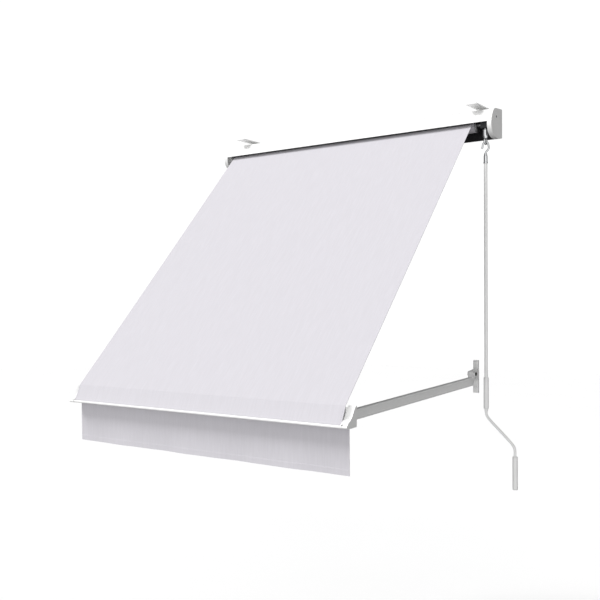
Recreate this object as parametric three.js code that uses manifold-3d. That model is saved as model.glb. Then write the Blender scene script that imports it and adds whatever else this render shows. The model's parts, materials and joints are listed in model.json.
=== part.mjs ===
// Retractable drop-arm window awning with a hand crank.
// Millimetres. X runs along the awning (+X is the gear side), Y runs into the wall (the wall is the plane
// y = 0 and the awning projects towards -Y), Z is up. The origin is the middle of the cassette's back.

import * as THREE from "three";
import { mergeVertices } from "three/addons/utils/BufferGeometryUtils.js";
import Module from "manifold-3d";

const wasm = await Module();
wasm.setup();

// ---- driving dimensions -------------------------------------------------------------------------

const GAP = 0.3; // play left between separate pieces

const CASSETTE_HALF = 750; // outer face of an end cap
const END_CAP = 20; // width of an end cap's rim
const END_PLATE = 3.2; // thickness of an end cap's outer plate
const SHEET_METAL = 2.6; // wall of the cassette extrusions

const ROLLER_Y = -48;
const ROLLER_Z = -2;
const TUBE_R = 30;
const ROLL_R = 31.7; // the cloth still wound on the tube when the awning is out

const CLOTH_LEFT = -701;
const CLOTH_RIGHT = 651.5;
const CLOTH = 1.2; // thickness of the cloth solids
const CLOTH_CORNER = [-1116.5, -1134.5]; // where the cloth bends over the front bar
const CLOTH_HINGE = [-100, -12.2]; // where the free cloth starts, at the cassette's mouth
const WRAP_END = [-26.4, -61.5]; // lower edge of the cloth on the bar, from the corner

const VALANCE_FOOT = -1371.5;
const VALANCE_WIDER = 6;

const BAR_CAP = 28; // width of a front bar end cap
const CAP_STEP = 0.8; // share of the cap's sweep that is taken in a step beside the cloth
const CAP_HOLLOW = 0.8; // how much deeper than its rim the cap's face is dished, as a share of the sweep

const ARM_X = 628; // middle of the gear side arm
const ARM_MIDDLE = -24.75; // the arms stand the same distance each side of this X
const ARM_WIDE = 24;
const ARM_TALL = 37;
const ARM_WALL = 2;
const ARM_START = [-70, -1127.7]; // centre of the tube's wall end
const ARM_LENGTH = 977;
const ARM_TILT = THREE.MathUtils.degToRad(2.735);
const WALL_PIVOT = [-48, -1095];
const BAR_PIVOT = [CLOTH_CORNER[0] + 44, CLOTH_CORNER[1] - 54];

const RAIL_TOP = -1036;
const RAIL_BOTTOM = -1181;
const RAIL_DEEP = 12;

const BRACKET_WIDE = 48;
const BRACKETS = { right: 664, left: -628 };
const BRACKET_TOP = 77.5;
const BRACKET_SCREWS = [-48, -112]; // distance of the screws from the wall

const CRANK_X = 705;
const CRANK_Y = -75;
const CRANK_OFFSET = 129;
const WHEEL_TEETH = 11;
const WHEEL_PITCH_R = 18;
const WORM_RIB_R = 7.5;
const WORM_PITCH = (2 * Math.PI * WHEEL_PITCH_R) / WHEEL_TEETH;
const RING_Z = -82; // centre of the eye's ring
const RING_R = 12.5;
const RING_WIRE = 4;
const HOOK_WIRE = 4;
const HOOK_R = 13;
const HOOK_Z = RING_Z - RING_R + RING_WIRE + HOOK_WIRE + GAP - HOOK_R;

const SIDES = [
  { name: "right", armX: ARM_X },
  { name: "left", armX: 2 * ARM_MIDDLE - ARM_X },
];

// ---- materials ----------------------------------------------------------------------------------

function material(color, roughness, metalness) {
  return () => new THREE.MeshStandardMaterial({ color, roughness, metalness });
}

const whitePaint = material(0xf3f3f2, 0.45, 0.1);
const whitePlastic = material(0xf1f1f0, 0.5, 0);
const cloth = material(0xe4e2e8, 0.95, 0);
const greyCast = material(0xb9bbbd, 0.5, 0.6);
const steel = material(0xc4c6c8, 0.35, 0.9);
const chrome = material(0xdcdee0, 0.15, 1);
const darkSteel = material(0x4a4c50, 0.4, 0.9);
const darkPlastic = material(0x35363a, 0.6, 0);

// ---- solid helpers ------------------------------------------------------------------------------

function signedVolume(position, index) {
  const a = new THREE.Vector3();
  const b = new THREE.Vector3();
  const c = new THREE.Vector3();
  let sum = 0;
  for (let i = 0; i < index.length; i += 3) {
    a.fromBufferAttribute(position, index[i]);
    b.fromBufferAttribute(position, index[i + 1]);
    c.fromBufferAttribute(position, index[i + 2]);
    sum += a.dot(b.cross(c));
  }
  return sum / 6;
}

// One welded, outward-facing surface with no triangle of zero size.
function solid(geometry) {
  geometry.deleteAttribute("normal");
  geometry.deleteAttribute("uv");
  const welded = mergeVertices(geometry, 1e-4);
  const kept = [];
  const index = welded.index.array;
  for (let i = 0; i < index.length; i += 3) {
    const [a, b, c] = [index[i], index[i + 1], index[i + 2]];
    if (a !== b && b !== c && c !== a) kept.push(a, b, c);
  }
  if (signedVolume(welded.attributes.position, kept) < 0) kept.reverse();
  welded.setIndex(kept);
  return welded;
}

function toManifold(geometry) {
  const clean = solid(geometry);
  return new wasm.Manifold(
    new wasm.Mesh({
      numProp: 3,
      vertProperties: new Float32Array(clean.attributes.position.array),
      triVerts: new Uint32Array(clean.index.array),
    }),
  );
}

function fromManifold(body) {
  const mesh = body.getMesh();
  const geometry = new THREE.BufferGeometry();
  geometry.setAttribute("position", new THREE.BufferAttribute(new Float32Array(mesh.vertProperties), 3));
  geometry.setIndex(Array.from(mesh.triVerts));
  return geometry;
}

function join(...geometries) {
  return fromManifold(geometries.map(toManifold).reduce((sum, next) => sum.add(next)));
}

function cut(geometry, ...tools) {
  const start = toManifold(geometry);
  return fromManifold(tools.map(toManifold).reduce((left, tool) => left.subtract(tool), start));
}

function shapeOf(points, holes = []) {
  const shape = new THREE.Shape(points.map(([u, v]) => new THREE.Vector2(u, v)));
  for (const hole of holes) {
    shape.holes.push(new THREE.Path(hole.map(([u, v]) => new THREE.Vector2(u, v))));
  }
  return shape;
}

// Extrudes a (y, z) outline along X.
function extrudeX(points, x0, x1, holes = []) {
  const geometry = new THREE.ExtrudeGeometry(shapeOf(points, holes), { depth: x1 - x0, bevelEnabled: false });
  const turn = new THREE.Matrix4().makeBasis(
    new THREE.Vector3(0, 1, 0),
    new THREE.Vector3(0, 0, 1),
    new THREE.Vector3(1, 0, 0),
  );
  geometry.applyMatrix4(turn);
  return geometry.translate(x0, 0, 0);
}

// Extrudes an (x, z) outline from y0 towards -Y.
function extrudeY(points, y0, length, holes = []) {
  const geometry = new THREE.ExtrudeGeometry(shapeOf(points, holes), { depth: length, bevelEnabled: false });
  return geometry.rotateX(Math.PI / 2).translate(0, y0, 0);
}

// Extrudes an (x, y) outline along Z.
function extrudeZ(points, z0, z1) {
  const geometry = new THREE.ExtrudeGeometry(shapeOf(points), { depth: z1 - z0, bevelEnabled: false });
  return geometry.translate(0, 0, z0);
}

function circle(u, v, r, sides = 32) {
  return Array.from({ length: sides }, (_, i) => {
    const a = (2 * Math.PI * i) / sides;
    return [u + r * Math.cos(a), v + r * Math.sin(a)];
  });
}

function rounded(u0, u1, v0, v1, r, steps = 4) {
  const corners = [
    [u1 - r, v1 - r, 0],
    [u0 + r, v1 - r, 90],
    [u0 + r, v0 + r, 180],
    [u1 - r, v0 + r, 270],
  ];
  return corners.flatMap(([u, v, start]) =>
    Array.from({ length: steps + 1 }, (_, i) => {
      const a = THREE.MathUtils.degToRad(start + (90 * i) / steps);
      return [u + r * Math.cos(a), v + r * Math.sin(a)];
    }),
  );
}

// A smooth line through a few guide points.
function smooth(points, pieces) {
  const line = new THREE.SplineCurve(points.map(([u, v]) => new THREE.Vector2(u, v)));
  return line.getPoints(pieces).map((p) => [p.x, p.y]);
}

// A strip of even thickness laid on the left of a (y, z) line.
function ribbon(line, thick) {
  const offset = line.map((point, i) => {
    const before = line[Math.max(i - 1, 0)];
    const after = line[Math.min(i + 1, line.length - 1)];
    const legs = [
      [point[0] - before[0], point[1] - before[1]],
      [after[0] - point[0], after[1] - point[1]],
    ].filter(([u, v]) => Math.hypot(u, v) > 0);
    const normals = legs.map(([u, v]) => [-v / Math.hypot(u, v), u / Math.hypot(u, v)]);
    const first = normals[0];
    const last = normals[normals.length - 1];
    const scale = thick / (1 + first[0] * last[0] + first[1] * last[1]);
    return [point[0] + (first[0] + last[0]) * scale, point[1] + (first[1] + last[1]) * scale];
  });
  return [...line, ...offset.reverse()];
}

function rodX(r, x0, x1, y, z, sides = 24) {
  return extrudeX(circle(y, z, r, sides), x0, x1);
}

function rodY(r, y0, y1, x, z, sides = 24) {
  return extrudeY(circle(x, z, r, sides), Math.max(y0, y1), Math.abs(y1 - y0));
}

function rodZ(r, z0, z1, x, y, sides = 24) {
  return extrudeZ(circle(x, y, r, sides), z0, z1);
}

function block(x0, x1, y0, y1, z0, z1) {
  const box = new THREE.BoxGeometry(x1 - x0, y1 - y0, z1 - z0);
  return box.translate((x0 + x1) / 2, (y0 + y1) / 2, (z0 + z1) / 2);
}

// Turns a profile of (radius, distance) pairs; the profile starts and ends on the axis.
function turned(profile, sides = 24) {
  return solid(new THREE.LatheGeometry(profile.map(([r, d]) => new THREE.Vector2(r, d)), sides));
}

function turnedX(profile, y, z, sides = 24) {
  return turned(profile, sides).rotateZ(-Math.PI / 2).translate(0, y, z);
}

function turnedY(profile, x, z, sides = 16) {
  return turned(profile, sides).translate(x, 0, z);
}

function turnedZ(profile, x, y, sides = 24) {
  return turned(profile, sides).rotateX(Math.PI / 2).translate(x, y, 0);
}

// A round wire along a smooth line of points.
function wire(points, r, steps, sides = 14) {
  const path = new THREE.CatmullRomCurve3(points.map((p) => new THREE.Vector3(...p)), false, "centripetal");
  const options = { steps, bevelEnabled: false, extrudePath: path };
  return new THREE.ExtrudeGeometry(shapeOf(circle(0, 0, r, sides)), options);
}

// A skin through rings of (y, z) points at given X, closed at both ends.
function loftX(rings) {
  const count = rings[0].points.length;
  const position = [];
  const index = [];
  for (const ring of rings) {
    for (const [y, z] of ring.points) position.push(ring.x, y, z);
  }
  for (let r = 0; r + 1 < rings.length; r++) {
    for (let i = 0; i < count; i++) {
      const next = (i + 1) % count;
      const [a, b] = [r * count + i, r * count + next];
      const [c, d] = [a + count, b + count];
      index.push(a, b, d, a, d, c);
    }
  }
  const flat = (ring) => ring.points.map(([y, z]) => new THREE.Vector2(y, z));
  const top = (rings.length - 1) * count;
  for (const [a, b, c] of THREE.ShapeUtils.triangulateShape(flat(rings[0]), [])) index.push(c, b, a);
  for (const [a, b, c] of THREE.ShapeUtils.triangulateShape(flat(rings[rings.length - 1]), [])) {
    index.push(top + a, top + b, top + c);
  }
  const geometry = new THREE.BufferGeometry();
  geometry.setAttribute("position", new THREE.Float32BufferAttribute(position, 3));
  geometry.setIndex(index);
  return geometry;
}

const group = new THREE.Group();

function add(name, geometry, makeMaterial) {
  const clean = solid(geometry);
  clean.computeVertexNormals();
  const mesh = new THREE.Mesh(clean, makeMaterial());
  mesh.name = name;
  group.add(mesh);
}

// ---- cassette -----------------------------------------------------------------------------------

// Outline of the cassette's end, from the top of the wall side round the front to the bottom.
const CASSETTE_FRONT_GUIDE = [
  [0, 63.5],
  [-40, 60.2],
  [-68, 57.4],
  [-80, 54.4],
  [-91, 47.8],
  [-100.5, 38],
  [-108.5, 25.5],
  [-114.4, 11],
  [-118.2, -4],
];
const CASSETTE_CHIN_GUIDE = [
  [-119.6, -13],
  [-118.6, -25],
  [-114.6, -38],
  [-106.8, -50],
  [-96, -60],
  [-82, -66.6],
  [-62, -69.8],
  [-30, -69.4],
  [0, -62.5],
];
const CASSETTE_FRONT = smooth(CASSETTE_FRONT_GUIDE, 32);
const CASSETTE_CHIN = smooth(CASSETTE_CHIN_GUIDE, 28);

function inset(points, by) {
  const centre = [-52, -3];
  return points.map(([y, z]) => {
    const reach = Math.hypot(y - centre[0], z - centre[1]);
    const scale = (reach - by) / reach;
    return [centre[0] + (y - centre[0]) * scale, centre[1] + (z - centre[1]) * scale];
  });
}

function cassetteHood() {
  const edge = CASSETTE_HALF - END_CAP - GAP;
  return extrudeX(ribbon(CASSETTE_FRONT, SHEET_METAL), -edge, edge);
}

function cassetteBack() {
  const edge = CASSETTE_HALF - END_CAP - GAP;
  const outline = [
    [0, 63.5 - SHEET_METAL - 0.5],
    [0, -62.5],
    [-30, -69.2],
    [-36, -69.4],
    [-36, -66.4],
    [-30.6, -66.2],
    [-3, -60],
    [-3, 63.2 - SHEET_METAL - 0.5],
  ];
  return extrudeX(outline, -edge, edge);
}

// A dished cap: outer plate, rim, and a boss that carries the gear or the bearing.
function endCap(side) {
  const outline = [...CASSETTE_FRONT, ...CASSETTE_CHIN];
  const inner = inset(outline, 3.6);
  const [outer, plate, rim] = [CASSETTE_HALF, CASSETTE_HALF - END_PLATE, CASSETTE_HALF - END_CAP];
  const shell = cut(extrudeX(outline, rim, outer), extrudeX(inner, rim - 1, plate));
  const boss = extrudeX(rounded(-84, -22, -22, 20, 6), rim, plate + 1);
  const head = rodX(5, outer - 2.1, outer + 1, -61, 22, 24);
  const shank = rodX(2.4, rim - 1, outer + 1, -61, 22, 16);
  const bearing = rodX(17, rim - 1, plate, ROLLER_Y, ROLLER_Z, 32);
  const made = side > 0 ? cut(join(shell, boss), head, shank) : cut(join(shell, boss), head, shank, bearing);
  return side > 0 ? made : made.scale(-1, 1, 1);
}

function endCapScrew(side) {
  const top = CASSETTE_HALF - 0.3;
  const shank = [[0, top - 18], [1.9, top - 18], [1.9, top - 1.6]];
  const head = [[4.5, top - 1.6], [4.5, top - 0.4], [3.8, top]];
  const socket = [[2, top], [2, top - 0.9], [0, top - 0.9]];
  const screw = turnedX([...shank, ...head, ...socket], -61, 22, 20);
  return side > 0 ? screw : screw.scale(-1, 1, 1);
}

// A plate that is screwed up to a soffit; its wall end rests on the hood.
function topBracket(x) {
  const half = BRACKET_WIDE / 2;
  const outline = [
    [0, 64],
    [-11, 63.2],
    [-11, 73],
    [-132, 73],
    [-133, 74],
    [-133, 76.5],
    [-132, BRACKET_TOP],
    [0, BRACKET_TOP],
  ];
  const sink = [[0, 72], [8.4, 72], [8.1, 73.2], [4.4, 76.8], [4.4, 79], [0, 79]];
  return cut(extrudeX(outline, x - half, x + half), ...BRACKET_SCREWS.map((y) => turnedZ(sink, x, y, 20)));
}

// A countersunk screw, head down and flush with the plate.
function bracketScrew(x, y) {
  const top = BRACKET_TOP - 0.3;
  const socket = [[0, 74.6], [2.6, 74.6], [2.6, 73.3]];
  const profile = [...socket, [7.7, 73.3], [4.1, 76.8], [4.1, top], [0, top]];
  return turnedZ(profile, x, y, 20);
}

// A hexagon bolt with its washer, head towards -Y, sitting on a plate whose face is at y = face.
function wallBolt(x, z, face) {
  const shank = [[0, -0.4], [4, -0.4], [4, face - 0.2]];
  const washer = [[8.5, face - 0.2], [8.5, face - 1.8], [0, face - 1.8]];
  const head = extrudeY(circle(x, z, 7, 6), face - 1.5, 5);
  return join(turnedY([...shank, ...washer], x, z), head);
}

// ---- roller and gear ----------------------------------------------------------------------------

function rollerTube() {
  const bore = circle(ROLLER_Y, ROLLER_Z, TUBE_R - 1.5, 36).reverse();
  return extrudeX(circle(ROLLER_Y, ROLLER_Z, TUBE_R, 36), -706, 658, [bore]);
}

function clothRoll() {
  const bore = circle(ROLLER_Y, ROLLER_Z, TUBE_R + 0.25, 36).reverse();
  return extrudeX(circle(ROLLER_Y, ROLLER_Z, ROLL_R, 36), CLOTH_LEFT, CLOTH_RIGHT, [bore]);
}

function idlerPlug() {
  const fit = TUBE_R - 1.5 - GAP;
  const profile = [[0, -723], [5, -723], [6, -722], [6, -709], [TUBE_R, -709], [TUBE_R, -706.4]];
  return turnedX([...profile, [fit, -706.4], [fit, -680], [0, -680]], ROLLER_Y, ROLLER_Z);
}

function idlerBearing() {
  const end = -(CASSETTE_HALF - END_PLATE - GAP);
  const profile = [[0, end], [16, end], [16, -717], [14, -714], [6.35, -714], [6.35, -725], [0, -725]];
  return turnedX(profile, ROLLER_Y, ROLLER_Z);
}

function drivePlug() {
  const fit = TUBE_R - 1.5 - GAP;
  const plug = [[0, 632], [fit, 632], [fit, 658.4], [TUBE_R, 658.4], [TUBE_R, 661]];
  const spindle = [[6.5, 661], [6.5, 714], [5.5, 715], [0, 715]];
  return turnedX([...plug, ...spindle], ROLLER_Y, ROLLER_Z);
}

function wormWheel() {
  const [root, tip] = [15.4, 20];
  const outline = [];
  for (let i = 0; i < WHEEL_TEETH; i++) {
    const middle = Math.PI + (2 * Math.PI * i) / WHEEL_TEETH;
    const rising = [[root, -0.16], [WHEEL_PITCH_R, -0.1], [tip, -0.05]];
    const falling = [[tip, 0.05], [WHEEL_PITCH_R, 0.1], [root, 0.16]];
    for (const [r, a] of [...rising, ...falling]) {
      outline.push([ROLLER_Y + r * Math.cos(middle + a), ROLLER_Z + r * Math.sin(middle + a)]);
    }
  }
  const bore = circle(ROLLER_Y, ROLLER_Z, 6.8, 24).reverse();
  return extrudeX(outline, CRANK_X - 4, CRANK_X + 4, [bore]);
}

// The worm's thread is a round rib on a plain core; it passes midway between two teeth of the wheel.
function wormShaft() {
  const turns = 2.5;
  const middle = ROLLER_Z + WORM_PITCH / 2;
  const rib = [];
  for (let i = 0; i <= 40; i++) {
    const turn = (i / 40 - 0.5) * turns;
    const a = Math.PI / 2 + 2 * Math.PI * turn;
    const [dx, dy] = [WORM_RIB_R * Math.cos(a), WORM_RIB_R * Math.sin(a)];
    rib.push([CRANK_X + dx, CRANK_Y + dy, middle + WORM_PITCH * turn]);
  }
  const foot = [[0, -48], [6.6, -48], [6.6, -22], [7.4, -22], [7.4, -18]];
  const core = [[6.2, -18], [6.2, 19], [5, 20], [5, 25.5], [0, 25.5]];
  return join(turnedZ([...foot, ...core], CRANK_X, CRANK_Y), wire(rib, 1.7, 40, 8));
}

function gearHousing() {
  const end = CASSETTE_HALF - END_CAP - GAP;
  const body = extrudeX(rounded(-90, -18, -27, 29, 7), 687, end);
  const room = block(690, 717.5, -87, -24, -24.5, 22.5);
  const shaftHole = rodX(7.2, 680, 700, ROLLER_Y, ROLLER_Z);
  const wormFoot = rodZ(7.3, -30, -20, CRANK_X, CRANK_Y);
  const wormTop = rodZ(5.4, 20, 27, CRANK_X, CRANK_Y);
  return cut(body, room, shaftHole, wormFoot, wormTop);
}

function eye() {
  const stem = [[0, -70], [8, -70], [12, -60], [12, -33.5], [10.5, -31.5], [0, -31.5]];
  const ring = new THREE.TorusGeometry(RING_R, RING_WIRE, 12, 28).rotateY(Math.PI / 2);
  ring.translate(CRANK_X, CRANK_Y, RING_Z);
  const opening = rodX(RING_R - RING_WIRE, CRANK_X - 14, CRANK_X + 14, CRANK_Y, RING_Z, 28);
  const socket = rodZ(6.9, -48.4, -20, CRANK_X, CRANK_Y);
  return cut(join(turnedZ(stem, CRANK_X, CRANK_Y), ring), opening, socket);
}

// ---- crank --------------------------------------------------------------------------------------

function crankHook() {
  const arch = [];
  for (let i = 0; i <= 12; i++) {
    const a = Math.PI * (1 - i / 12);
    arch.push([CRANK_X + HOOK_R * Math.cos(a), CRANK_Y, HOOK_Z + HOOK_R * Math.sin(a)]);
  }
  const tip = [[CRANK_X - HOOK_R - 3.5, CRANK_Y, HOOK_Z - 14], [CRANK_X - HOOK_R - 0.8, CRANK_Y, HOOK_Z - 6]];
  const leg = [
    [CRANK_X + HOOK_R + 1.5, CRANK_Y, HOOK_Z - 7],
    [CRANK_X + HOOK_R + 2, CRANK_Y, HOOK_Z - 14],
    [CRANK_X + HOOK_R - 3, CRANK_Y, HOOK_Z - 22],
    [CRANK_X + 2, CRANK_Y, HOOK_Z - 30],
    [CRANK_X, CRANK_Y, HOOK_Z - 37],
    [CRANK_X, CRANK_Y, HOOK_Z - 54],
  ];
  return wire([...tip, ...arch, ...leg], HOOK_WIRE, 44, 10);
}

function crankFerrule() {
  const collar = [[0, -178.5], [8.6, -178.5], [9.2, -177.5], [9.2, -172.5], [8.2, -171.5]];
  const profile = [...collar, [8.2, -148], [5.6, -135], [0, -135]];
  const bore = rodZ(HOOK_WIRE + GAP, -160, -130, CRANK_X, CRANK_Y, 24);
  const socket = rodZ(7.7, -180, -156, CRANK_X, CRANK_Y);
  return cut(turnedZ(profile, CRANK_X, CRANK_Y), bore, socket);
}

function crankTube() {
  const profile = [[0, -1252], [7.4, -1252], [7.4, -156.5], [0, -156.5]];
  return cut(turnedZ(profile, CRANK_X, CRANK_Y), rodZ(6.1, -1260, -150, CRANK_X, CRANK_Y));
}

function crankHandle() {
  const far = CRANK_X + CRANK_OFFSET;
  const at = (x, z) => [x, CRANK_Y, z];
  const bend = [at(CRANK_X + 1.5, -1266), at(CRANK_X + 9, -1279), at(CRANK_X + 22, -1292.5)];
  const back = [at(far - 22, -1373), at(far - 7, -1390), at(far - 1.2, -1404)];
  const path = [at(CRANK_X, -1215), at(CRANK_X, -1240), at(CRANK_X, -1255), ...bend, ...back];
  return wire([...path, at(far, -1418), at(far, -1440), at(far, -1566)], 5.6, 44, 12);
}

function upperSleeve() {
  const profile = [[0, -1240], [10, -1240], [11, -1238.5], [11, -1107], [9.6, -1105], [0, -1105]];
  return cut(turnedZ(profile, CRANK_X, CRANK_Y), rodZ(7.75, -1260, -1090, CRANK_X, CRANK_Y));
}

function lowerGrip() {
  const x = CRANK_X + CRANK_OFFSET;
  const profile = [[0, -1574], [8, -1574], [11, -1571], [11, -1437], [9.4, -1434], [0, -1434]];
  return cut(turnedZ(profile, x, CRANK_Y), rodZ(6.1, -1567.5, -1400, x, CRANK_Y));
}

// ---- arms ---------------------------------------------------------------------------------------

// Tilts a piece made along -Y at the tube's height so that it lies along the arm.
function alongArm(geometry) {
  geometry.translate(0, -ARM_START[0], 0).rotateX(ARM_TILT);
  return geometry.translate(0, ARM_START[0], ARM_START[1]);
}

// A rounded tube with a shallow flute along each side.
function armTube(x) {
  const [w, h] = [ARM_WIDE / 2, ARM_TALL / 2];
  const flute = [[w, -10], [w - 1, -9], [w - 1, 8], [w, 9]];
  const corners = rounded(-w, w, -h, h, 5);
  const half = corners.length / 2;
  const leftFlute = flute.map(([u, v]) => [-u, v]).reverse();
  const outside = [...corners.slice(0, half), ...leftFlute, ...corners.slice(half), ...flute];
  const inside = rounded(x - w + ARM_WALL, x + w - ARM_WALL, -h + ARM_WALL, h - ARM_WALL, 3.2);
  const tube = outside.map(([u, v]) => [x + u, v]);
  return alongArm(extrudeY(tube, ARM_START[0], ARM_LENGTH, [inside.reverse()]));
}

function armPlug(x, y0, length) {
  const [w, h] = [ARM_WIDE / 2 - ARM_WALL - GAP, ARM_TALL / 2 - ARM_WALL - GAP];
  return alongArm(extrudeY(rounded(x - w, x + w, -h, h, 3), y0, length));
}

function wallKnuckle(x) {
  const [y, z] = WALL_PIVOT;
  const web = [
    [y - 6, z + 12.4],
    [y - 22.2, z - 13],
    [y - 20.6, z - 50.5],
    [y - 13, z - 50.5],
    [y + 11, z - 9],
    [y + 12, z + 7],
  ];
  const eyeRing = rodX(14, x - 10.7, x + 10.7, y, z);
  const made = join(extrudeX(web, x - 10.7, x + 10.7), eyeRing, armPlug(x, ARM_START[0] + 2, 44));
  return cut(made, rodX(5.4, x - 20, x + 20, y, z, 24));
}

function barKnuckle(x) {
  const [y, z] = BAR_PIVOT;
  const end = ARM_START[0] - ARM_LENGTH;
  const web = [
    [y + 2, z + 12.8],
    [y + 25.3, z + 30],
    [y + 26.8, z - 4],
    [y + 3, z - 12.6],
  ];
  const eyeRing = rodX(13, x - 10.7, x + 10.7, y, z);
  const made = join(extrudeX(web, x - 10.7, x + 10.7), eyeRing, armPlug(x, end + 40, 42));
  return cut(made, rodX(5.4, x - 20, x + 20, y, z, 24));
}

// A gas spring lies inside each arm tube.
function armSpring(x) {
  const profile = [[0, 120], [5, 120], [5, 132], [9, 134], [9, 640], [4, 642], [4, 1002], [0, 1002]];
  const spring = turned(profile, 16);
  spring.rotateX(Math.PI).translate(x, 0, 0);
  return alongArm(spring);
}

function cheeks(x, outline, baseOutline) {
  const left = extrudeX(outline, x - 16.5, x - 12.4);
  const right = extrudeX(outline, x + 12.4, x + 16.5);
  return join(extrudeX(baseOutline, x - 16.5, x + 16.5), left, right);
}

function wallClevis(x) {
  const [y, z] = WALL_PIVOT;
  const front = -RAIL_DEEP - GAP;
  const outline = [
    [front, z + 15],
    [y + 10, z + 13],
    [y - 7, z + 12],
    [y - 13, z + 5],
    [y - 13, z - 5],
    [y - 8, z - 12],
    [y + 10, z - 21],
    [front, z - 34],
  ];
  const base = [
    [front, z + 18],
    [front - 4, z + 17],
    [front - 4, z - 36],
    [front, z - 37],
  ];
  return cut(cheeks(x, outline, base), rodX(5.4, x - 20, x + 20, y, z, 24));
}

// A box section with its bolts through both walls.
function wallRail(x) {
  const outline = rounded(x - 12, x + 12, -RAIL_DEEP, 0, 1, 2);
  const hollow = rounded(x - 9.4, x + 9.4, -RAIL_DEEP + 2.6, -2.6, 0.6, 1);
  const outside = extrudeZ(outline, RAIL_BOTTOM, RAIL_TOP);
  const inside = extrudeZ(hollow, RAIL_BOTTOM - 1, RAIL_TOP + 1);
  return cut(outside, inside, ...railBoltHeights().map((z) => rodY(4.4, 2, -RAIL_DEEP - 2, x, z)));
}

function railBoltHeights() {
  return [RAIL_TOP - 14, RAIL_BOTTOM + 18];
}

function pivotPin(x, [y, z]) {
  const profile = [[0, x - 19.5], [7, x - 19.5], [7.4, x - 19], [7.4, x - 16.8], [5, x - 16.8], [5, x + 16.8]];
  const far = [[7.4, x + 16.8], [7.4, x + 19], [7, x + 19.5], [0, x + 19.5]];
  return turnedX([...profile, ...far], y, z, 16);
}

// ---- front bar ----------------------------------------------------------------------------------

function fromCorner(points) {
  return points.map(([dy, dz]) => [CLOTH_CORNER[0] + dy, CLOTH_CORNER[1] + dz]);
}

const BEAD = [-27.3, -66.8]; // centre of the cloth groove in the bar's lower lip

function barProfile() {
  const outline = fromCorner([
    [2.4, -2.6],
    [0.9, -4.8],
    [5, -12],
    [7.5, -22],
    [4.5, -34],
    [-3, -44],
    [-13, -51.5],
    [-22.4, -57],
    [-24.6, -62.4],
    [-30.6, -63.4],
    [-32.8, -67],
    [-31.8, -70.8],
    [-28, -72.8],
    [-20, -72.6],
    [10, -71.6],
    [27, -70],
    [27, -9],
    [24, -7],
    [12, -6],
  ]);
  const chamber = fromCorner([
    [9, -9.5],
    [12, -8.6],
    [22, -9],
    [24.8, -10.5],
    [24.8, -67.8],
    [10, -69],
    [-19, -69.9],
    [-18, -60],
    [-9.6, -54],
    [-0.5, -46.6],
    [7.5, -36],
    [10.5, -22],
  ]);
  const groove = fromCorner(circle(BEAD[0], BEAD[1], 3, 16)).reverse();
  const bar = extrudeX(outline, CLOTH_LEFT, CLOTH_RIGHT, [chamber, groove]);
  const [y, z] = fromCorner([[15.5, -70]])[0];
  return cut(bar, block(CLOTH_LEFT - 1, CLOTH_RIGHT + 1, y - 1.1, y + 1.1, z - 4, z + 4));
}

function clothWrap() {
  const direction = Math.hypot(...WRAP_END);
  const start = WRAP_END.map((v) => (v / direction) * 0.6);
  return extrudeX(ribbon(fromCorner([start, WRAP_END]), CLOTH), CLOTH_LEFT, CLOTH_RIGHT);
}

// The valance hangs from a bead in the bar and is a little wider below it.
function valance() {
  const [y, z] = fromCorner([[15.5, -65.5]])[0];
  const below = z - 11;
  const [left, right] = [CLOTH_LEFT - VALANCE_WIDER, CLOTH_RIGHT + VALANCE_WIDER];
  const outline = [
    [CLOTH_LEFT, z],
    [CLOTH_LEFT, below],
    [left, below],
    [left, VALANCE_FOOT],
    [right, VALANCE_FOOT],
    [right, below],
    [CLOTH_RIGHT, below],
    [CLOTH_RIGHT, z],
  ];
  return join(extrudeY(outline, y + 0.6, 1.2), rodX(2.2, CLOTH_LEFT, CLOTH_RIGHT, y, z, 12));
}

// The cap's face is set back behind the cloth's edge and dished between there and its outer rim.
function barCap(side) {
  const flush = [
    ...[[12, -1.5], [8, -1.2], [4, -1], [0.5, -2]],
    ...[[-3, -9], [-7.5, -19], [-12, -29.5], [-17, -41], [-22, -53]],
  ];
  const swept = [
    ...[[27, -0.5], [23, -0.5], [18, -4], [13, -11]],
    ...[[8, -19.5], [1, -31], [-7, -41], [-17, -49], [-27, -55]],
  ];
  const toe = [[-31.5, -60], [-35, -65.5], [-34.5, -69.5], [-28, -73], [0, -72.4], [27, -70.6], [27, -36]];
  const start = side > 0 ? CLOTH_RIGHT : -CLOTH_LEFT;
  const [flushLine, sweptLine] = [smooth(flush, 20), smooth(swept, 20)];
  const rings = [0, 0.015, 0.05, 0.1, 0.17, 0.26, 0.37, 0.5, 0.65, 0.82, 1].map((t) => {
    const ease = CAP_STEP + (1 - CAP_STEP) * (1 - (1 - t) * (1 - t));
    const front = flushLine.map(([y, z], i) => {
      const dish = CAP_HOLLOW * Math.sin(Math.PI * t) * Math.sin((Math.PI * i) / 20);
      return [y + (sweptLine[i][0] - y) * (ease + dish), z + (sweptLine[i][1] - z) * (ease + dish)];
    });
    return { x: start + GAP + t * (BAR_CAP - GAP), points: fromCorner([...front, ...toe]) };
  });
  const [y, z] = fromCorner([[-30, -61]])[0];
  const made = cut(loftX(rings), rodY(3.6, y - 12, y + 14, start + 6, z, 16));
  return side > 0 ? made : made.scale(-1, 1, 1);
}

function barLug(x) {
  const [y, z] = BAR_PIVOT;
  const back = CLOTH_CORNER[0] + 27 + GAP;
  const outline = [
    [back, z + 26],
    [y - 4, z + 14],
    [y + 8, z + 11],
    [y + 14, z + 4],
    [y + 14, z - 4],
    [y + 8, z - 11],
    [back, z - 14],
  ];
  const base = [
    [back, z + 30],
    [back + 2.8, z + 29],
    [back + 2.8, z - 15],
    [back, z - 15.5],
  ];
  return cut(cheeks(x, outline, base), rodX(5.4, x - 20, x + 20, y, z, 24));
}

// ---- cloth --------------------------------------------------------------------------------------

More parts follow.
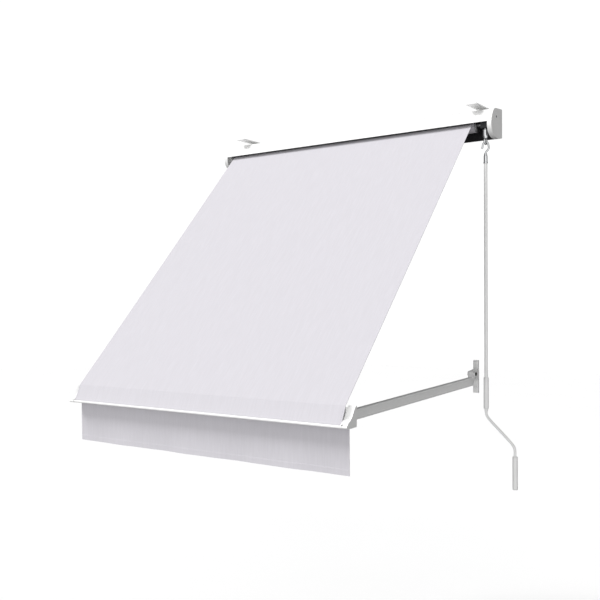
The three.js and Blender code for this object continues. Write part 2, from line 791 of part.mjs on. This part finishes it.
// Unit vector from the roller to the front bar along the taut cloth.
function clothDirection() {
  const [dy, dz] = [CLOTH_CORNER[0] - CLOTH_HINGE[0], CLOTH_CORNER[1] - CLOTH_HINGE[1]];
  const length = Math.hypot(dy, dz);
  return [dy / length, dz / length];
}

function clothStrip(from, to) {
  return extrudeX(ribbon([from, to], CLOTH), CLOTH_LEFT, CLOTH_RIGHT);
}

function freeCloth() {
  const [uy, uz] = clothDirection();
  const from = [CLOTH_HINGE[0] + uy * 0.2, CLOTH_HINGE[1] + uz * 0.2];
  const to = [CLOTH_CORNER[0] - uy * 0.4, CLOTH_CORNER[1] - uz * 0.4];
  return clothStrip(from, to);
}

// The short run of cloth between the roll and the mouth.
function clothLead() {
  const [uy, uz] = clothDirection();
  const from = [CLOTH_HINGE[0] - uy * 32, CLOTH_HINGE[1] - uz * 32];
  const to = [CLOTH_HINGE[0] - uy * 0.2, CLOTH_HINGE[1] - uz * 0.2];
  return clothStrip(from, to);
}

// ---- assembly -----------------------------------------------------------------------------------

add("cassette_back", cassetteBack(), whitePaint);
add("cassette_hood", cassetteHood(), whitePaint);
for (const [name, side] of [["right", 1], ["left", -1]]) {
  add(`end_cap_${name}`, endCap(side), whitePlastic);
  add(`end_cap_screw_${name}`, endCapScrew(side), darkSteel);
  add(`top_bracket_${name}`, topBracket(BRACKETS[name]), whitePaint);
  BRACKET_SCREWS.forEach((y, i) => {
    add(`bracket_screw_${name}_${i + 1}`, bracketScrew(BRACKETS[name], y), whitePaint);
  });
}
add("idler_bearing", idlerBearing(), darkPlastic);
add("gear_housing", gearHousing(), darkPlastic);

add("roller_tube", rollerTube(), steel);
add("cloth_roll", clothRoll(), cloth);
add("idler_plug", idlerPlug(), darkPlastic);
add("drive_plug", drivePlug(), greyCast);
add("worm_wheel", wormWheel(), steel);
add("worm_shaft", wormShaft(), steel);
add("crank_eye", eye(), chrome);

add("crank_hook", crankHook(), chrome);
add("crank_ferrule", crankFerrule(), chrome);
add("crank_tube", crankTube(), whitePaint);
add("crank_handle", crankHandle(), whitePaint);
add("upper_sleeve", upperSleeve(), whitePlastic);
add("lower_grip", lowerGrip(), whitePlastic);

for (const { name, armX } of SIDES) {
  add(`wall_rail_${name}`, wallRail(armX), whitePaint);
  railBoltHeights().forEach((z, i) => {
    add(`rail_bolt_${name}_${i + 1}`, wallBolt(armX, z, -RAIL_DEEP), whitePaint);
  });
  add(`wall_clevis_${name}`, wallClevis(armX), whitePaint);
  add(`wall_pin_${name}`, pivotPin(armX, WALL_PIVOT), darkSteel);
  add(`arm_tube_${name}`, armTube(armX), whitePaint);
  add(`wall_knuckle_${name}`, wallKnuckle(armX), whitePaint);
  add(`bar_knuckle_${name}`, barKnuckle(armX), whitePaint);
  add(`arm_spring_${name}`, armSpring(armX), darkSteel);
  add(`bar_lug_${name}`, barLug(armX), whitePaint);
  add(`bar_pin_${name}`, pivotPin(armX, BAR_PIVOT), darkSteel);
}

add("bar_profile", barProfile(), whitePaint);
add("bar_cap_right", barCap(1), whitePlastic);
add("bar_cap_left", barCap(-1), whitePlastic);
add("bar_keder", rodX(2.6, CLOTH_LEFT, CLOTH_RIGHT, ...fromCorner([BEAD])[0], 12), whitePlastic);
add("cloth_wrap", clothWrap(), cloth);
add("valance", valance(), cloth);
add("cloth_free", freeCloth(), cloth);
add("cloth_lead", clothLead(), cloth);

export default group;
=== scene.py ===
"""Looks of a retractable drop-arm window awning with a hand crank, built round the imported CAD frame."""

import json
import math

import bmesh
import bpy
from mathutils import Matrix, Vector


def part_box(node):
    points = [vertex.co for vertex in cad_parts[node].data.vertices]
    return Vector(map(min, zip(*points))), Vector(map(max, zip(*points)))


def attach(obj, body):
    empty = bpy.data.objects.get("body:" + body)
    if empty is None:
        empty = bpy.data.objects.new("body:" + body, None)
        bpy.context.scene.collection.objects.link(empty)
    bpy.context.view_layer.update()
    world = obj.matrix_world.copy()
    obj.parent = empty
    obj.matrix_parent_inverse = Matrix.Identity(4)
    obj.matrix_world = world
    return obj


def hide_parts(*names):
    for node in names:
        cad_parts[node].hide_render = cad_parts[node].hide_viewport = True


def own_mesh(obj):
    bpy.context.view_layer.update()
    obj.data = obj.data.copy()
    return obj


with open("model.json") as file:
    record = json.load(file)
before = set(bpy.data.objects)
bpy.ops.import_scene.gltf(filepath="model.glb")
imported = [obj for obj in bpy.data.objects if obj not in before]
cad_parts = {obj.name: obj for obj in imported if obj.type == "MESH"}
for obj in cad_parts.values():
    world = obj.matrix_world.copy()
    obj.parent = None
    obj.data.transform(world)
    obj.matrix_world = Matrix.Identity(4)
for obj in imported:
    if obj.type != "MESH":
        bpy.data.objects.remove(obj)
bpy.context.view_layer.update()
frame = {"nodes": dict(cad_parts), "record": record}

# ---- sizes, in metres ---------------------------------------------------------------------------

CAD_CLOTH_THICK = 0.0012  # thickness of the frame's plain cloth solids
CLOTH_THICK = 0.0010
HEM_WIDE = 0.009  # welded hem along each side of the cloth
HEM_PROUD = 0.0005
SEAM_IN = HEM_WIDE * 0.75  # from the cloth's edge to the row of stitches
HEM_EDGES = (HEM_WIDE - 0.0004, HEM_WIDE)  # the hem's small step, from the cloth's edge
SAG = 0.0025  # how far the stretched cloth hangs below a straight line
RIPPLE = 0.0006
STITCH_PITCH = 0.006
STITCH_LONG = 0.0042
STITCH_R = 0.00035
VALANCE_WAVE = 0.0035
VALANCE_HEM = 0.022
VALANCE_ROWS = 26
VALANCE_STILL = 0.012  # the waves start this far below the top
VALANCE_NECK = 0.011  # depth of the valance's narrow top, which is held in the bar
VALANCE_STEP = 0.002  # height over which it widens below the neck
VALANCE_WIDER = 0.006  # how far the valance stands out beyond its neck at each end
ROLL_TURNS = 2.9  # turns of cloth left on the tube
ROLL_PITCH = 0.00045  # distance between two turns of the wound cloth
ROLL_THICK = 0.00032
ROLL_START = 138  # degrees round the tube where the inner end lies
HOLLOW_CENTRE = (0, -0.052, -0.003)  # about the middle of the cassette's hollow
INNER_SIDE = -0.012  # an inner face, which gets the painted shade, looks at that point from a plane more than 12 mm away
SHADE_FROM, SHADE_TO = -0.008, -0.002  # heights between which the lead cloth darkens, a painted shade

SHARP_CLOTH = math.radians(40)  # edges of made pieces are sharp from this angle
SHARP_FRAME = math.radians(38)  # edges of CAD pieces are sharp, and bevelled, from this angle
SAME_PLANE = math.radians(0.8)  # CAD faces closer than this in angle are joined before bevelling

CAMERA_PLACE = (2.1619, -3.4696, -0.8121)
CAMERA_TURN = (90.66, 0, 35.81)  # degrees
SUN = 2.83
SUN_TOWARDS = (0.4, 0.4, -0.82)
SUN_ANGLE = 26  # degrees; a wide sun gives soft shadows
SKY_LOW = 0.15
SKY_GLOW = 1.12  # added on the bright side of the sky
SKY_BRIGHT_SIDE = (0.46, -0.87, -0.15)
SKY_SEEN = 1.05  # where the camera looks straight at the sky
FLOOR_DROP = 2.6  # the cassette is fixed this high above the floor
FLOOR_HALF = 20

# ---- camera, light and floor --------------------------------------------------------------------


def make_camera():
    data = bpy.data.cameras.new("camera")
    data.lens = 50
    data.sensor_width = 36
    camera = bpy.data.objects.new("camera", data)
    camera.location = CAMERA_PLACE
    camera.rotation_euler = [math.radians(a) for a in CAMERA_TURN]
    bpy.context.scene.collection.objects.link(camera)
    bpy.context.scene.camera = camera


def make_sun():
    data = bpy.data.lights.new("sun", "SUN")
    data.energy = SUN
    data.angle = math.radians(SUN_ANGLE)
    sun = bpy.data.objects.new("sun", data)
    sun.rotation_euler = Vector(SUN_TOWARDS).to_track_quat("-Z", "Y").to_euler()
    bpy.context.scene.collection.objects.link(sun)


def make_sky():
    """A studio sky: brightest in front and to the right, plain white where the camera looks at it."""
    world = bpy.data.worlds.new("studio")
    bpy.context.scene.world = world
    world.use_nodes = True
    nodes, links = world.node_tree.nodes, world.node_tree.links
    background = nodes["Background"]
    background.inputs["Color"].default_value = (1, 1, 1, 1)
    place = nodes.new("ShaderNodeTexCoord")
    dot = nodes.new("ShaderNodeVectorMath")
    dot.operation = "DOT_PRODUCT"
    dot.inputs[1].default_value = SKY_BRIGHT_SIDE
    facing = nodes.new("ShaderNodeMath")
    facing.operation = "MAXIMUM"
    facing.inputs[1].default_value = 0
    glow = nodes.new("ShaderNodeMath")
    glow.operation = "MULTIPLY_ADD"
    glow.inputs[1].default_value = SKY_GLOW
    glow.inputs[2].default_value = SKY_LOW
    path = nodes.new("ShaderNodeLightPath")
    seen = nodes.new("ShaderNodeMix")
    seen.inputs["B"].default_value = SKY_SEEN
    links.new(place.outputs["Generated"], dot.inputs[0])
    links.new(dot.outputs["Value"], facing.inputs[0])
    links.new(facing.outputs[0], glow.inputs[0])
    links.new(path.outputs["Is Camera Ray"], seen.inputs["Factor"])
    links.new(glow.outputs[0], seen.inputs["A"])
    links.new(seen.outputs["Result"], background.inputs["Strength"])


def make_floor():
    """A plain floor; it neither brightens the awning's undersides nor shows in its plated parts."""
    half = FLOOR_HALF
    corners = [(-half, -half, 0), (half, -half, 0), (half, half, 0), (-half, half, 0)]
    mesh = bpy.data.meshes.new("floor")
    mesh.from_pydata(corners, [], [(0, 1, 2, 3)])
    floor = bpy.data.objects.new("floor", mesh)
    floor.location.z = -FLOOR_DROP
    bpy.context.scene.collection.objects.link(floor)
    floor.data.materials.append(plain_floor())
    floor.visible_diffuse = False
    floor.visible_glossy = False


# ---- materials ----------------------------------------------------------------------------------


class Paint:
    """A material under construction: its nodes, its shader and a short way to join things."""

    def __init__(self, name, roughness, metallic=0.0):
        self.material = bpy.data.materials.new(name)
        self.material.use_nodes = True
        self.nodes = self.material.node_tree.nodes
        self.links = self.material.node_tree.links
        self.shader = self.nodes["Principled BSDF"]
        self.shader.inputs["Roughness"].default_value = roughness
        self.shader.inputs["Metallic"].default_value = metallic
        self.place = self.nodes.new("ShaderNodeTexCoord").outputs["Object"]

    def node(self, kind, **inputs):
        made = self.nodes.new(kind)
        for key, value in inputs.items():
            name = key.replace("_", " ")
            if isinstance(value, bpy.types.NodeSocket):
                self.links.new(value, made.inputs[name])
            else:
                made.inputs[name].default_value = value
        return made

    def noise(self, scale, detail=3.0, stretch=(1, 1, 1)):
        mapped = self.node("ShaderNodeMapping", Vector=self.place, Scale=stretch)
        made = self.node("ShaderNodeTexNoise", Vector=mapped.outputs[0], Scale=scale, Detail=detail)
        return made.outputs["Fac"]

    def wave(self, direction, scale, distortion=0.0):
        made = self.node("ShaderNodeTexWave", Vector=self.place, Scale=scale, Distortion=distortion)
        made.bands_direction = direction
        return made.outputs["Fac"]

    def spread(self, value, low, high):
        return self.node("ShaderNodeMapRange", Value=value, To_Min=low, To_Max=high).outputs[0]

    def between(self, value, first, second):
        ramp = self.nodes.new("ShaderNodeValToRGB")
        ramp.color_ramp.elements[0].color = (*first, 1)
        ramp.color_ramp.elements[0].position = 0.3
        ramp.color_ramp.elements[1].color = (*second, 1)
        ramp.color_ramp.elements[1].position = 0.7
        self.links.new(value, ramp.inputs[0])
        return ramp.outputs["Color"]

    def math(self, operation, first, second):
        made = self.nodes.new("ShaderNodeMath")
        made.operation = operation
        for socket, value in zip(made.inputs, (first, second)):
            if isinstance(value, bpy.types.NodeSocket):
                self.links.new(value, socket)
            else:
                socket.default_value = value
        return made.outputs[0]

    def colour(self, socket):
        self.links.new(socket, self.shader.inputs["Base Color"])

    def roughness(self, socket):
        self.links.new(socket, self.shader.inputs["Roughness"])

    def bump(self, height, strength, distance):
        made = self.node("ShaderNodeBump", Height=height, Strength=strength, Distance=distance)
        self.links.new(made.outputs["Normal"], self.shader.inputs["Normal"])


def plain_floor():
    paint = Paint("floor_paint", 0.9)
    paint.colour(paint.between(paint.noise(0.6), (0.965, 0.965, 0.965), (0.98, 0.98, 0.98)))
    return paint.material


def powder_coat():
    """White powder coat: the fine orange peel of the sprayed skin."""
    paint = Paint("powder_coat", 0.38)
    paint.colour(paint.between(paint.noise(9), (0.88, 0.88, 0.875), (0.92, 0.92, 0.915)))
    paint.roughness(paint.spread(paint.noise(60), 0.32, 0.46))
    paint.bump(paint.noise(700, 2), 0.12, 0.0003)
    return paint.material


def paint_shade(material, nodes, share, dark):
    """Blends the material's base colour towards dark by the socket share: painted shade."""
    links = material.node_tree.links
    base = nodes["Principled BSDF"].inputs["Base Color"]
    shade = nodes.new("ShaderNodeMix")
    shade.data_type = "RGBA"
    shade.inputs["B"].default_value = (*dark, 1)
    links.new(share, shade.inputs["Factor"])
    links.new(base.links[0].from_socket, shade.inputs["A"])
    links.new(shade.outputs["Result"], base)


def cassette_coat_painted_shade():
    """Powder coat whose faces inside the hollow are near black, to stand for the deep shade there."""
    material = powder_coat()
    material.name = "cassette_coat_painted_shade"
    nodes, links = material.node_tree.nodes, material.node_tree.links
    place = nodes.new("ShaderNodeTexCoord")
    from_centre = nodes.new("ShaderNodeVectorMath")
    from_centre.operation = "SUBTRACT"
    from_centre.inputs[1].default_value = HOLLOW_CENTRE
    flat = nodes.new("ShaderNodeVectorMath")
    flat.operation = "MULTIPLY"
    flat.inputs[1].default_value = (0, 1, 1)
    facing = nodes.new("ShaderNodeVectorMath")
    facing.operation = "DOT_PRODUCT"
    inner = nodes.new("ShaderNodeMath")
    inner.operation = "LESS_THAN"
    inner.inputs[1].default_value = INNER_SIDE
    links.new(place.outputs["Object"], from_centre.inputs[0])
    links.new(from_centre.outputs[0], flat.inputs[0])
    links.new(flat.outputs[0], facing.inputs[0])
    links.new(place.outputs["Normal"], facing.inputs[1])
    links.new(facing.outputs["Value"], inner.inputs[0])
    # painted shade: the faces inside the hollow turn near black
    paint_shade(material, nodes, inner.outputs[0], (0.03, 0.03, 0.033))
    return material


def moulded_plastic():
    """White moulded plastic with a fine spark-eroded grain."""
    paint = Paint("moulded_plastic", 0.5)
    paint.colour(paint.between(paint.noise(14), (0.85, 0.85, 0.845), (0.9, 0.9, 0.895)))
    paint.roughness(paint.spread(paint.noise(90), 0.42, 0.58))
    paint.bump(paint.noise(1600, 1), 0.2, 0.0002)
    return paint.material


def awning_cloth():
    """Woven acrylic: warp along the cloth and weft across it, with slightly uneven yarns."""
    paint = Paint("awning_cloth", 0.85)
    paint.shader.inputs["Sheen Weight"].default_value = 0.15
    paint.shader.inputs["Sheen Roughness"].default_value = 0.5
    warp = paint.wave("X", 260, 0.6)
    weft = paint.wave("Z", 200, 0.6)
    weave = paint.math("MULTIPLY", warp, weft)
    slub = paint.noise(14, 4, (14, 1, 1))
    tone = paint.math("ADD", paint.math("MULTIPLY", weave, 0.35), paint.math("MULTIPLY", slub, 0.65))
    paint.colour(paint.between(tone, (0.555, 0.54, 0.575), (0.605, 0.59, 0.63)))
    paint.bump(weave, 0.35, 0.0003)
    return paint.material


def shaded_cloth():
    """Awning cloth that darkens with height, to stand for the deep shade in the cassette's mouth."""
    material = awning_cloth()
    material.name = "shaded_cloth"
    nodes, links = material.node_tree.nodes, material.node_tree.links
    place = nodes.new("ShaderNodeTexCoord")
    height = nodes.new("ShaderNodeSeparateXYZ")
    inside = nodes.new("ShaderNodeMapRange")
    inside.inputs["From Min"].default_value = SHADE_FROM
    inside.inputs["From Max"].default_value = SHADE_TO
    links.new(place.outputs["Object"], height.inputs[0])
    links.new(height.outputs["Z"], inside.inputs["Value"])
    # painted shade: the lead cloth turns near black higher up, towards the roll
    paint_shade(material, nodes, inside.outputs[0], (0.035, 0.035, 0.04))
    return material


def sewing_thread():
    paint = Paint("sewing_thread", 0.6)
    paint.colour(paint.between(paint.noise(900), (0.66, 0.65, 0.68), (0.78, 0.77, 0.8)))
    paint.bump(paint.wave("DIAGONAL", 900), 0.4, 0.0001)
    return paint.material


def cast_metal():
    """Bare die-cast aluminium, grainy and dull."""
    paint = Paint("cast_metal", 0.5, 0.85)
    paint.colour(paint.between(paint.noise(25), (0.4, 0.4, 0.41), (0.52, 0.52, 0.53)))
    paint.roughness(paint.spread(paint.noise(130), 0.42, 0.62))
    paint.bump(paint.noise(900, 4), 0.35, 0.0004)
    return paint.material


def plated(name, dark, light, rough_low, rough_high):
    """Plated steel with faint drawing lines and small stains."""
    paint = Paint(name, rough_low, 1.0)
    paint.colour(paint.between(paint.noise(40), dark, light))
    paint.roughness(paint.spread(paint.noise(200, 3, (1, 1, 0.05)), rough_low, rough_high))
    paint.bump(paint.noise(1200, 2, (1, 1, 0.1)), 0.06, 0.0002)
    return paint.material


def dark_plastic():
    paint = Paint("dark_plastic", 0.55)
    paint.colour(paint.between(paint.noise(30), (0.03, 0.032, 0.036), (0.05, 0.052, 0.058)))
    paint.bump(paint.noise(1500, 1), 0.25, 0.0002)
    return paint.material


# ---- mesh helpers -------------------------------------------------------------------------------


def add_piece(name, points, faces, material):
    mesh = bpy.data.meshes.new(name)
    mesh.from_pydata(points, [], faces)
    mesh.materials.append(material)
    piece = bpy.data.objects.new(name, mesh)
    bpy.context.scene.collection.objects.link(piece)
    made = bmesh.new()
    made.from_mesh(mesh)
    bmesh.ops.recalc_face_normals(made, faces=made.faces)
    made.to_mesh(mesh)
    made.free()
    mesh.shade_smooth()
    mesh.set_sharp_from_angle(angle=SHARP_CLOTH)
    return piece


def cloth_mesh(name, columns, rows, outer, inner, material):
    """A closed sheet over a grid: outer(i, j) and inner(i, j) give its two faces' points."""
    across, down = columns + 1, rows + 1
    points = [outer(i, j) for j in range(down) for i in range(across)]
    points += [inner(i, j) for j in range(down) for i in range(across)]
    under = across * down
    faces = []

    def at(i, j):
        return j * across + i

    for j in range(rows):
        for i in range(columns):
            quad = [at(i, j), at(i + 1, j), at(i + 1, j + 1), at(i, j + 1)]
            faces.append(quad)
            faces.append([under + k for k in reversed(quad)])
    rim = [at(i, 0) for i in range(across)] + [at(columns, j) for j in range(1, down)]
    rim += [at(i, rows) for i in range(columns - 1, -1, -1)] + [at(0, j) for j in range(rows - 1, 0, -1)]
    for a, b in zip(rim, rim[1:] + rim[:1]):
        faces.append([b, a, under + a, under + b])
    return add_piece(name, points, faces, material)


def spaced(low, high, count, edges=()):
    """Evenly spaced values from low to high, with extra ones at the distances in edges from each end."""
    values = {round(low + (high - low) * k / count, 7) for k in range(count + 1)}
    for e in edges:
        values |= {round(low + e, 7), round(high - e, 7)}
    return sorted(values)


def stitches(name, starts, along, out, material):
    """Short sewn threads, each lying on the cloth at a point of starts and running along."""
    points, faces = [], []
    side = along.cross(out)
    for start in starts:
        base = len(points)
        for t, r in ((0, 0.2), (0.2, 1), (0.8, 1), (1, 0.2)):
            centre = start + along * (STITCH_LONG * t)
            for k in range(6):
                a = math.pi * k / 3
                points.append(centre + (side * math.cos(a) + out * math.sin(a)) * (STITCH_R * r))
        for ring in range(3):
            for k in range(6):
                n = (k + 1) % 6
                a, b = base + ring * 6, base + ring * 6 + 6
                faces.append([a + k, a + n, b + n, b + k])
        faces.append([base + k for k in range(6)])
        faces.append([base + 18 + k for k in range(6)])
    return add_piece(name, points, faces, material)


# ---- cloth --------------------------------------------------------------------------------------


def cloth_line():
    """The stretched cloth's upper and lower ends as (y, z), and its unit vectors along and outwards."""
    low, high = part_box("cloth_free")
    thick = CAD_CLOTH_THICK
    slope = math.atan2(high.z - low.z, high.y - low.y)
    for _ in range(4):
        rise = high.z - low.z - thick * math.cos(slope)
        run = high.y - low.y - thick * math.sin(slope)
        slope = math.atan2(rise, run)
    along = Vector((0, -math.cos(slope), -math.sin(slope)))
    out = Vector((0, -math.sin(slope), math.cos(slope)))
    top = Vector((0, high.y - thick * math.sin(slope), high.z))
    bottom = Vector((0, low.y, low.z + thick * math.cos(slope)))
    return top, bottom, along, out


def hem_height(x, low, high):
    return HEM_PROUD if x < low + HEM_WIDE or x > high - HEM_WIDE else 0.0


def free_cloth(material, thread):
    """The stretched cloth from the cassette to the front bar, shortened as the arms fold up.

    The squash is even over the swing and the true length isn't. The cloth reaches the bar at rest
    and nearly reaches it when folded, but between these it ends up to 72 mm short.
    """
    low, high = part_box("cloth_free")
    top, bottom, along, out = cloth_line()
    length = (bottom - top).length
    xs = spaced(low.x, high.x, 60, HEM_EDGES)
    rows = 80

    def middle(i, j):
        t = j / rows
        x = xs[i]
        share = (x - low.x) / (high.x - low.x)
        dip = SAG * math.sin(math.pi * t) * (0.6 + 0.4 * math.sin(math.pi * share))
        ripple = RIPPLE * math.sin(9 * math.pi * share) * t * t
        depth = dip + ripple * math.sin(math.pi * t)
        return Vector((x, 0, 0)) + top + along * (length * t) - out * depth

    def outer(i, j):
        return middle(i, j) + out * hem_height(xs[i], low.x, high.x)

    def inner(i, j):
        return middle(i, j) - out * CLOTH_THICK

    piece = cloth_mesh("free_cloth", len(xs) - 1, rows, outer, inner, material)
    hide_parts("cloth_free")

    starts = []
    for k in range(int(length / STITCH_PITCH)):
        t = (k + 0.2) * STITCH_PITCH / length
        dip = SAG * math.sin(math.pi * t) * 0.6
        for x in (low.x + SEAM_IN, high.x - SEAM_IN):
            starts.append(Vector((x, 0, 0)) + top + along * (length * t) + out * (HEM_PROUD - dip))
    seam = stitches("free_cloth_stitching", starts, along, out, thread)
    for made in (piece, seam):
        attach(made, "free_cloth")
        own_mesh(made)


def cloth_lead(material):
    """The cloth between the roll and the cassette's mouth."""
    low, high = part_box("cloth_lead")
    top, _, along, out = cloth_line()
    reach = 0.0423  # from the mouth back to the roll
    gap = 0.0003  # between its lower edge and the free cloth's upper edge
    xs = spaced(low.x, high.x, 40, HEM_EDGES)
    rows = 6

    def face(i, j):
        return Vector((xs[i], 0, 0)) + top - along * (reach * (1 - j / rows) + gap)

    def outer(i, j):
        return face(i, j) + out * hem_height(xs[i], low.x, high.x)

    def inner(i, j):
        return face(i, j) - out * CLOTH_THICK

    piece = cloth_mesh("lead_cloth", len(xs) - 1, rows, outer, inner, material)
    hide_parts("cloth_lead")
    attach(piece, "cassette")


def rolled_cloth(material):
    """What stays wound on the tube with the awning out: a spiral of just under three turns."""
    low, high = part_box("cloth_roll")
    centre = (low + high) / 2
    outside = (high.z - low.z) / 2
    begin = outside - ROLL_PITCH * ROLL_TURNS
    steps = 150

    def at(x, radius, turn):
        a = math.radians(ROLL_START) + 2 * math.pi * turn
        return Vector((x, centre.y + radius * math.cos(a), centre.z + radius * math.sin(a)))

    xs = [low.x, high.x]

    def outer(i, j):
        turn = ROLL_TURNS * j / steps
        return at(xs[i], begin + ROLL_PITCH * turn, turn)

    def inner(i, j):
        turn = ROLL_TURNS * j / steps
        return at(xs[i], begin + ROLL_PITCH * turn - ROLL_THICK, turn)

    piece = cloth_mesh("rolled_cloth", 1, steps, outer, inner, material)
    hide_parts("cloth_roll")
    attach(piece, "roller")


def wrapped_cloth(material, thread):
    """The cloth that bends over the front bar's corner and runs down into its lower groove."""
    low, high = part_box("cloth_wrap")
    _, bottom, _, _ = cloth_line()
    end = Vector((0, low.y, low.z))
    corner = Vector((0, bottom.y, bottom.z))
    along = (end - corner).normalized()
    out = Vector((0, along.z, -along.y))
    length = (end - corner).length
    xs = spaced(low.x, high.x, 60, HEM_EDGES)
    rows = 14

    def face(i, j, depth):
        t = j / rows
        place = Vector((xs[i], 0, 0)) + corner + along * (length * t)
        belly = 0.0008 * math.sin(math.pi * t)
        return place + out * (depth - belly)

    def outer(i, j):
        return face(i, j, hem_height(xs[i], low.x, high.x))

    def inner(i, j):
        return face(i, j, -CLOTH_THICK)

    piece = cloth_mesh("wrapped_cloth", len(xs) - 1, rows, outer, inner, material)
    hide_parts("cloth_wrap")
    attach(piece, "front_bar")

    starts = []
    for k in range(int(length / STITCH_PITCH)):
        down = (k + 0.2) * STITCH_PITCH
        for x in (low.x + SEAM_IN, high.x - SEAM_IN):
            starts.append(Vector((x, 0, 0)) + corner + along * down + out * HEM_PROUD)
    seam = stitches("wrapped_cloth_stitching", starts, along, out, thread)
    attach(seam, "front_bar")


def hanging_valance(material, thread):
    """The loose skirt under the front bar, with a folded hem along its foot."""
    low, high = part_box("valance")
    y = (low.y + high.y) / 2
    head, foot = high.z, low.z
    xs = spaced(low.x, high.x, 110, HEM_EDGES)
    fold = (VALANCE_HEM - 0.0005, VALANCE_HEM)
    drops = {round((head - foot) * k / VALANCE_ROWS, 7) for k in range(VALANCE_ROWS + 1)}
    drops |= {head - foot - f for f in fold}
    drops |= {VALANCE_NECK, VALANCE_NECK + VALANCE_STEP}
    drops = sorted(drops)
    middle = (low.x + high.x) / 2
    half = (high.x - low.x) / 2

    def wave(x, drop):
        grow = max(0.0, drop - VALANCE_STILL) / (head - foot)
        share = (x - low.x) / (high.x - low.x)
        slow = math.sin(2 * math.pi * (3.3 * share + 0.15))
        quick = 0.45 * math.sin(2 * math.pi * (7.7 * share + 0.4))
        return VALANCE_WAVE * grow ** 1.4 * (slow + quick)

    def face(x, drop, depth):
        narrow = VALANCE_WIDER * max(0.0, min(1.0, (VALANCE_NECK - drop) / VALANCE_STEP + 1))
        across = middle + (x - middle) * (half - narrow) / half
        return Vector((across, y + wave(x, drop) + depth, head - drop))

    def hem(x, drop):
        folded = drop > head - foot - VALANCE_HEM + 0.0001
        return max(HEM_PROUD if folded else 0.0, hem_height(x, low.x, high.x))

    def outer(i, j):
        return face(xs[i], drops[j], -CLOTH_THICK / 2 - hem(xs[i], drops[j]))

    def inner(i, j):
        return face(xs[i], drops[j], CLOTH_THICK / 2 + hem(xs[i], drops[j]) * 0.4)

    piece = cloth_mesh("hanging_valance", len(xs) - 1, len(drops) - 1, outer, inner, material)
    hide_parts("valance")
    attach(piece, "front_bar")

    starts = []
    drop = head - foot - VALANCE_HEM + 0.003
    for k in range(int((high.x - low.x) / STITCH_PITCH) - 1):
        x = low.x + (k + 0.5) * STITCH_PITCH
        starts.append(face(x, drop, -CLOTH_THICK / 2 - HEM_PROUD))
    seam = stitches("valance_stitching", starts, Vector((1, 0, 0)), Vector((0, -1, 0)), thread)
    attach(seam, "front_bar")


# ---- frame pieces kept from the CAD -------------------------------------------------------------


def finish_node(name, material, edge):
    """Gives a CAD node its material and, with modifiers only, rounded edges that catch the light."""
    node = frame["nodes"][name]
    node.data.materials.clear()
    node.data.materials.append(material)
    if edge:
        flat = node.modifiers.new("flat_faces", "DECIMATE")
        flat.decimate_type = "DISSOLVE"
        flat.angle_limit = SAME_PLANE
        bevel = node.modifiers.new("rounded_edges", "BEVEL")
        bevel.width = edge
        bevel.segments = 2
        bevel.limit_method = "ANGLE"
        bevel.angle_limit = SHARP_FRAME
        bevel.use_clamp_overlap = True
    node.data.shade_smooth()
    node.data.set_sharp_from_angle(angle=SHARP_FRAME)


def finish_frame():
    white = powder_coat()
    shell_painted_shade = cassette_coat_painted_shade()
    plastic = moulded_plastic()
    cast = cast_metal()
    zinc = plated("zinc_plate", (0.5, 0.51, 0.52), (0.62, 0.63, 0.64), 0.25, 0.4)
    bright = plated("bright_plate", (0.66, 0.67, 0.68), (0.78, 0.79, 0.8), 0.1, 0.2)
    burnished = plated("dark_plate", (0.05, 0.052, 0.056), (0.1, 0.102, 0.108), 0.3, 0.45)
    black = dark_plastic()
    looks = {
        "white_paint": (white, 0.0006),
        "white_plastic": (plastic, 0.0006),
        "grey_cast": (cast, 0.0005),
        "steel": (zinc, 0.0004),
        "chrome": (bright, 0.0),
        "dark_steel": (burnished, 0.0003),
        "dark_plastic": (black, 0.0004),
    }
    smooth = {"crank_handle", "worm_shaft"}
    for part in frame["record"]["subparts"]:
        if part["material_slot"] in looks:
            material, edge = looks[part["material_slot"]]
            # the hood and back get the powder coat with painted shade inside
            if part["node"] in ("cassette_hood", "cassette_back"):
                material = shell_painted_shade
            finish_node(part["node"], material, 0 if part["node"] in smooth else edge)


# ---- the whole object ---------------------------------------------------------------------------

make_camera()
make_sun()
make_sky()
make_floor()
bpy.context.scene.view_settings.view_transform = "Standard"

finish_frame()
fabric = awning_cloth()
sewing = sewing_thread()
free_cloth(fabric, sewing)
cloth_lead(shaded_cloth())
rolled_cloth(fabric)
wrapped_cloth(fabric, sewing)
hanging_valance(fabric, sewing)
